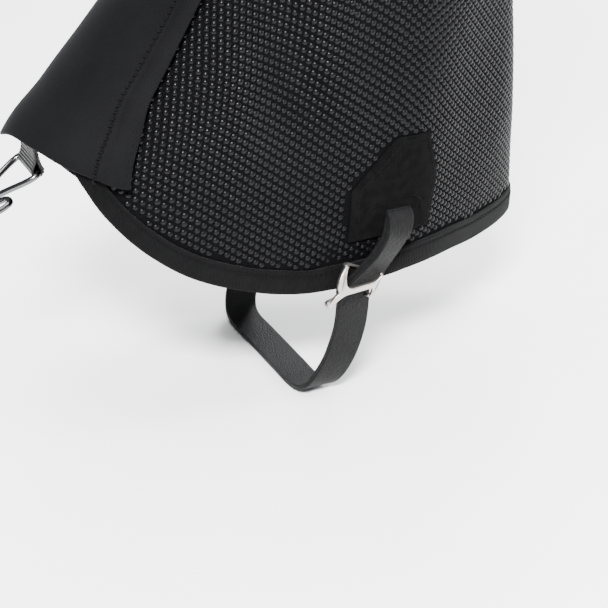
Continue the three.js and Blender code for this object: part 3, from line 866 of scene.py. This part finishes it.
# ---------------------------------------------------------------- patches
def patch(side, name, cad):
    """The patch a strap is sewn under: side is 1 for the outer side of the leg and -1 for the inner."""
    def where(u, v):
        z = np.where(v < 0.5, 69.5 + 45 * v, 92 + 39 * (v - 0.5))
        low = np.interp(z, PATCH[:, 0], PATCH[:, 1])
        high = np.interp(z, PATCH[:, 0], PATCH[:, 2])
        share = u if side > 0 else 1 - u
        return side * (low + (high - low) * share), z

    def wavy(u, v, a, z):
        return 0.12 * np.sin(u * 7 + v * 5)

    dress(cloth(name, where, 33, 42, 0.05, 1.35, (1.1, 1.1), True, wavy), "suede", replaces=cad)
    outline = [(83.6, 71), (83.1, 91.6), (88.6, 109.8), (97.6, 109.8), (103.1, 91.6), (101.5, 71), (83.6, 71)]
    inset = [(84.6, 93.2), (89.3, 107.6), (97.1, 107.6)]
    for tag, points in enumerate((outline, inset)):
        a, z = np.array(points, float).T
        corners = np.arange(len(points))
        t = np.linspace(0, len(points) - 1, 80 * (len(points) - 1))
        a = np.interp(t, corners, a * side)
        sew(f"{name}_stitches_{tag}", a, np.interp(t, corners, z), 1.3, 2.3, 0.72, 0.2)
    # the raised welt over the mouth that the strap comes out of, clear of the strap's swing
    turn = np.linspace(-0.25, math.pi + 0.25, 60)
    lip_a = side * (90.6 + 7.2 * np.cos(turn))
    lip_z = 80.0 + 5.9 * np.sin(turn)
    path, _ = on_skin(lip_a, lip_z, 1.35)
    dress(tube(f"{name}_mouth", path, 0.42, 90, 8), "suede")


# ---------------------------------------------------------------- the instep loop
BUCKLE = np.array([55.0, -28.2, 50.2])
TAB = [(46.5, -5.0, 77.2), (49.2, -5.2, 77.0), (50.6, -6.0, 75.0), (51.2, -8.2, 71.2), (51.4, -12.6, 65.2),
       (50.6, -18.4, 58.0), (49.4, -23.0, 52.4), (48.8, -24.4, 50.6)]
STRAP = [(49.1, -24.8, 54), (48.9, -25.4, 50), (48.6, -25.1, 43), (47, -26, 29), (45.2, -30.3, 14.5),
         (41, -35.4, 4), (33, -38, 0), (15, -38.5, 0), (0, -38.5, 0), (-15, -38.5, 0), (-33, -38, 0),
         (-41, -35.5, 4), (-45.8, -30, 16),
         (-49.6, -23, 36), (-51.6, -13.5, 62), (-51.3, -6, 76), (-49.4, -4.2, 79.6), (-46.6, -4.0, 79.8)]


def ribbon(name, path, width, low, high, count, slant, radius, twist=0.0, taper=1.0):
    """A strap along a path, turned flat to -Y by slant, twisted in degrees and narrowed by taper."""
    centre, length = catmull(path, count)
    tangent = unit(np.gradient(centre, axis=0))
    normal = unit(np.cross(tangent, (0.0, 1.0, 0.0)))
    side = np.cross(tangent, normal)
    v = np.linspace(0, 1, count)[:, None]
    side = unit(side + (np.array([0.0, -1.0, 0.0]) - side) * slant * v)
    turn = math.radians(twist) * smooth(v, 0.12, 0.35) * (1 - smooth(v, 0.5, 0.95))
    turned = side * np.cos(turn) + normal * np.sin(turn)
    normal = normal * np.cos(turn) - side * np.sin(turn)
    narrow = taper + (1 - taper) * smooth(v, 0.3, 0.9)
    return sweep(name, centre, turned * narrow, normal, oblong(width, low, high, radius), length)


def buckle_outline():
    """The plate's outline seen from the outer side, as (y, z) round the buckle's place."""
    def quad(a, c, b, n=9):
        t = np.linspace(0, 1, n)[1:, None]
        a, b, c = np.array(a), np.array(b), np.array(c)
        return list(map(tuple, (1 - t) ** 2 * a + 2 * t * (1 - t) * c + t ** 2 * b))

    pts = [(-0.8, 11.2), (-2.0, 11.4)]
    pts += quad((-2.0, 11.4), (-6.2, 8.2), (-6.8, 4.6))
    pts += quad((-6.8, 4.6), (-6.9, 2.6), (-6.4, 1.4), 5)
    pts += quad((-6.4, 1.4), (-10.6, -1.0), (-10.8, -4.4))
    pts += [(-10.2, -5.2)]
    pts += quad((-10.2, -5.2), (-7.8, -2.6), (-6.0, -1.5))
    pts += quad((-6.0, -1.5), (-4.6, -0.5), (-3.0, -0.2), 5)
    pts += [(8.4, 0.5)]
    pts += quad((8.4, 0.5), (9.1, -0.8), (7.6, -3.6))
    pts += [(8.5, -3.9)]
    pts += quad((8.5, -3.9), (11.3, -1.6), (11.3, 1.2))
    pts += quad((11.3, 1.2), (12.0, 3.4), (13.9, 4.7), 6)
    pts += [(13.0, 5.4)]
    pts += quad((13.0, 5.4), (11.2, 3.2), (8.6, 2.9))
    pts += [(-0.4, 2.3)]
    pts += quad((-0.4, 2.3), (-2.9, 2.6), (-3.0, 5.2))
    pts += quad((-3.0, 5.2), (-3.0, 8.6), (-0.8, 11.2))[:-1]
    return pts


def bevel(bm, edges, width):
    """Rounds edges, with the width in millimetres."""
    bmesh.ops.bevel(bm, geom=edges, offset=width / 1000, segments=3, profile=0.5, affect="EDGES",
                    clamp_overlap=True)


def bend_in(z):
    """How far out the plate lies, by the height above its place."""
    return -0.028 * (z - 1.3) ** 2


def buckle():
    x, y, z = BUCKLE
    bm = bmesh.new()
    corners = [(x / 1000, (y + dy) / 1000, (z + dz) / 1000) for dy, dz in buckle_outline()]
    face = bm.faces.new([bm.verts.new(corner) for corner in corners])
    out = bmesh.ops.extrude_face_region(bm, geom=[face])
    moved = [v for v in out["geom"] if isinstance(v, bmesh.types.BMVert)]
    bmesh.ops.translate(bm, verts=moved, vec=(0.0017, 0, 0))
    bmesh.ops.recalc_face_normals(bm, faces=bm.faces)
    sharp = [e for e in bm.edges if len(e.link_faces) == 2 and e.calc_face_angle() > 1.0]
    bevel(bm, sharp, 0.34)
    for v in bm.verts:
        v.co.x += bend_in(v.co.z * 1000 - z) / 1000
    mesh = bpy.data.meshes.new("buckle_plate")
    bm.to_mesh(mesh)
    bm.free()
    obj = add_object("buckle_plate", mesh)
    for p in mesh.polygons:
        p.use_smooth = len(p.vertices) == 4 and p.area < 2e-6
    dress(obj, "steel", "instep_loop", "strap_buckle")
    low = [(0.6 + bend_in(-4.6), -10.3, -4.6), (-3.0, -10.0, -5.6), (-6.6, -8.2, -6.0), (-7.5, -4, -5.8),
           (-7.5, 4, -5.4), (-6.0, 7.6, -5.0), (-2.6, 8.3, -4.4), (0.6 + bend_in(-3.6), 8.0, -3.6)]
    high = [(0.6 + bend_in(10.9), -1.5, 10.9), (-4.0, -1.6, 10.8), (-5.4, 0.4, 10.2), (-5.5, 6, 7.6),
            (-5.0, 12, 5.6), (-2.6, 13.8, 5.0), (0.6 + bend_in(4.8), 13.3, 4.9)]
    dress(tube("buckle_lower_bar", BUCKLE + low, 0.7, 70, 12), "steel", "instep_loop")
    dress(tube("buckle_upper_bar", BUCKLE + high, 0.6, 70, 12), "steel", "instep_loop")


def instep_loop():
    outer = ribbon("upper_strap_outer", TAB, 13.2, 2.15, 4.25, 90, 1, 0.55, 18, 0.86)
    dress(outer, "strap", "instep_loop", "upper_strap")
    inner = ribbon("upper_strap_inner", TAB, 13.0, 0.0, 2.1, 90, 1, 0.5, 18, 0.86)
    dress(inner, "strap", "instep_loop")
    strap = ribbon("instep_strap_piece", STRAP, 14.5, 0, 2.4, 260, 0, 0.55)
    dress(strap, "strap", "instep_loop", "instep_strap")
    buckle()


# ---------------------------------------------------------------- the lace hook
# where the wire's bar and the top of the elastic are, as (y, z), and the wire's radius
BAR_Y = -141.0
BAR_Z = 106.5
TOP_Y = -141.8
TOP_H = 120.2
WIRE = 1.25


def lace_hook():
    lateral = [(0.3, 0, 0), (9, 0, 0), (11, -1.4, -0.7), (10.6, -5, -2.6), (6.4, -14, -7.3), (4.6, -18, -10),
               (4.2, -19.6, -13.4), (3.8, -16.6, -16), (2.6, -11, -14.2), (0, -9.8, -13.8)]
    medial = [(-x, y, z) for x, y, z in lateral[-2::-1]]
    points = [(x, BAR_Y + y, BAR_Z + z) for x, y, z in lateral + medial]
    dress(tube("hook_wire", points, WIRE, 260, 16), "wire", "lace_hook", "lace_hook")
    # the elastic goes down in front of the bar, round it and up behind it
    eye = WIRE + 0.85
    back = [(TOP_Y + 0.42, TOP_H + 1.5), (TOP_Y + 0.42, TOP_H), (BAR_Y + 0.5, BAR_Z + 5.4)]
    front = [(BAR_Y - 0.5, BAR_Z + 5.4), (TOP_Y - 0.42, TOP_H), (TOP_Y - 0.42, TOP_H + 1.5)]
    turns = np.radians(np.linspace(40, -220, 12))
    ring = [(BAR_Y + eye * math.cos(a), BAR_Z + eye * math.sin(a)) for a in turns]
    line = [(0, y, z) for y, z in back + ring + front]
    centre, length = catmull(line, 220)
    tangent = unit(np.gradient(centre, axis=0))
    normal = np.cross((1.0, 0.0, 0.0), tangent)
    run = np.linspace(0, length, len(centre))
    width = 18.0
    us = spaced(width, 2.0, 0.5)
    x = (us - 0.5) * width
    across = np.stack([x, 0 * x, 0 * x], 1)[None]
    thick = (0.42 * np.maximum(rounded(us, width, 0.5), 0.15))[None, :]
    rib = 0.34 * np.abs(np.sin(math.pi * run / 1.3)) ** 0.7 - 0.1
    ribbed = thick + rib[:, None] * (thick > 0.2)
    inner = centre[:, None, :] + across - normal[:, None, :] * thick[..., None]
    outer = centre[:, None, :] + across + normal[:, None, :] * ribbed[..., None]
    uv = np.stack(np.broadcast_arrays(x[None, :], run[:, None]), -1) / 10
    band_piece = slab("elastic_band", inner, outer, uv)
    fix = bmesh.new()
    fix.from_mesh(band_piece.data)
    bmesh.ops.recalc_face_normals(fix, faces=fix.faces)
    fix.to_mesh(band_piece.data)
    fix.free()
    dress(band_piece, "elastic", "hook_elastic", "hook_elastic")
    anchor = cloth("elastic_anchor_piece", between(-8, 8, 123.5, 137), 17, 18, 1.55, 2.5, (1.2, 1.2))
    dress(anchor, "tape", replaces="elastic_anchor")


# ---------------------------------------------------------------- the top strap
def refined(name, source, mat, width, body="gaiter"):
    """A copy of a CAD node with its edges rounded."""
    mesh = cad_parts[source].data.copy()
    mesh.name = name
    obj = add_object(name, mesh)
    bm = bmesh.new()
    bm.from_mesh(mesh)
    bmesh.ops.remove_doubles(bm, verts=bm.verts, dist=1e-6)
    bmesh.ops.dissolve_limit(bm, angle_limit=math.radians(2), verts=bm.verts, edges=bm.edges)
    sharp = [e for e in bm.edges if len(e.link_faces) == 2 and e.calc_face_angle(0) > math.radians(32)]
    bevel(bm, sharp, width)
    bm.to_mesh(mesh)
    bm.free()
    mesh.shade_smooth()
    mesh.set_sharp_from_angle(angle=math.radians(35))
    return dress(obj, mat, body, source)


def top_strap():
    half = 9.5

    def where(u, v):
        return -82 + 202 * u, STRAP_Z + (2 * v - 1) * half

    def lifted(u, v, angle, z):
        return strap_off(angle)

    strap = cloth("top_webbing", where, 225, 19, 0, 1.6, (1.6, 1.0), True, lifted)
    dress(strap, "webbing", replaces="top_strap")
    a = np.linspace(-81, -74, 60)
    for k, dz in enumerate((-6.5, 6.5)):
        sew(f"strap_tack_{k}", a, np.full_like(a, STRAP_Z + dz), 2.25, 1.4, 0.8, 0.22, "grey_thread")
    z = np.linspace(STRAP_Z - 7.5, STRAP_Z + 7.5, 60)
    for k, side in enumerate((-80.5, -75)):
        sew(f"strap_bar_{k}", np.full_like(z, side), z, 2.25, 1.1, 0.95, 0.24, "grey_thread", 0.7)
    refined("strap_tip_piece", "strap_end_tip", "plastic", 0.6)
    refined("keeper_piece", "strap_keeper", "webbing", 0.3)
    refined("cam_frame_piece", "cam_buckle_frame", "plastic", 0.45)
    refined("cam_pin_piece", "cam_pin", "steel", 0.2)
    refined("cam_lever_piece", "cam_lever", "plastic", 0.5, "cam_lever")


lattice(*shell())
trim()
flap()
patch(1, "outer_patch", "outer_strap_patch")
patch(-1, "inner_patch", "inner_strap_patch")
instep_loop()
lace_hook()
top_strap()


# ---------------------------------------------------------------- floor, light and camera
def stage():
    floor_z = -0.003
    mesh = bpy.data.meshes.new("floor")
    corners = [(-4, -4, floor_z), (4, -4, floor_z), (4, 4, floor_z), (-4, 4, floor_z)]
    mesh.from_pydata(corners, [], [(0, 1, 2, 3)])
    floor = add_object("floor", mesh)
    paint = (0.86, 0.86, 0.86)
    m, tree, shader = material("floor_paint", paint, 0.7)
    mottle(tree, shader, paint, 0.015, 6)
    floor.data.materials.append(m)
    world = bpy.data.worlds.new("studio")
    bpy.context.scene.world = world
    world.use_nodes = True
    background = world.node_tree.nodes["Background"]
    background.inputs["Color"].default_value = (0.95, 0.97, 1.0, 1)
    background.inputs["Strength"].default_value = 0.34


def light(name, place, target, size, power, colour=(1, 1, 1)):
    data = bpy.data.lights.new(name, "AREA")
    data.shape = "RECTANGLE"
    data.size, data.size_y = size
    data.energy = power
    data.color = colour
    obj = add_object(name, data)
    obj.location = place
    obj.rotation_euler = (Vector(target) - Vector(place)).to_track_quat("-Z", "Y").to_euler()


def camera():
    azimuth = math.radians(64)
    elevation = math.radians(28)
    distance = 640.0
    level = math.cos(elevation)
    back = Vector((math.sin(azimuth) * level, -math.cos(azimuth) * level, math.sin(elevation)))
    right = Vector((math.cos(azimuth), math.sin(azimuth), 0))
    up = back.cross(right)
    target = Vector((47, -46, 45))
    data = bpy.data.cameras.new("main_camera")
    data.lens = 93.3
    data.sensor_width = 36.0
    data.clip_start = 0.01
    obj = add_object("main_camera", data)
    place = (target + back * distance) / 1000
    obj.matrix_world = Matrix.Translation(place) @ Matrix((right, up, back)).transposed().to_4x4()
    bpy.context.scene.camera = obj


stage()
# name, place and target in metres, size in metres, watts, colour
light("overhead_light", (0.0, 0.1, 1.7), (0.05, -0.05, 0.1), (1.3, 1.3), 75)
light("key_light", (0.78, -0.5, 0.95), (0.03, -0.06, 0.12), (0.34, 0.2), 72)
light("heel_light", (0.45, 1.4, 0.6), (0.03, 0.02, 0.1), (0.7, 0.6), 24, (0.97, 0.98, 1.0))
light("back_light", (-1.1, 0.75, 0.75), (0.0, 0.0, 0.22), (0.5, 0.9), 42, (0.97, 0.98, 1.0))
camera()
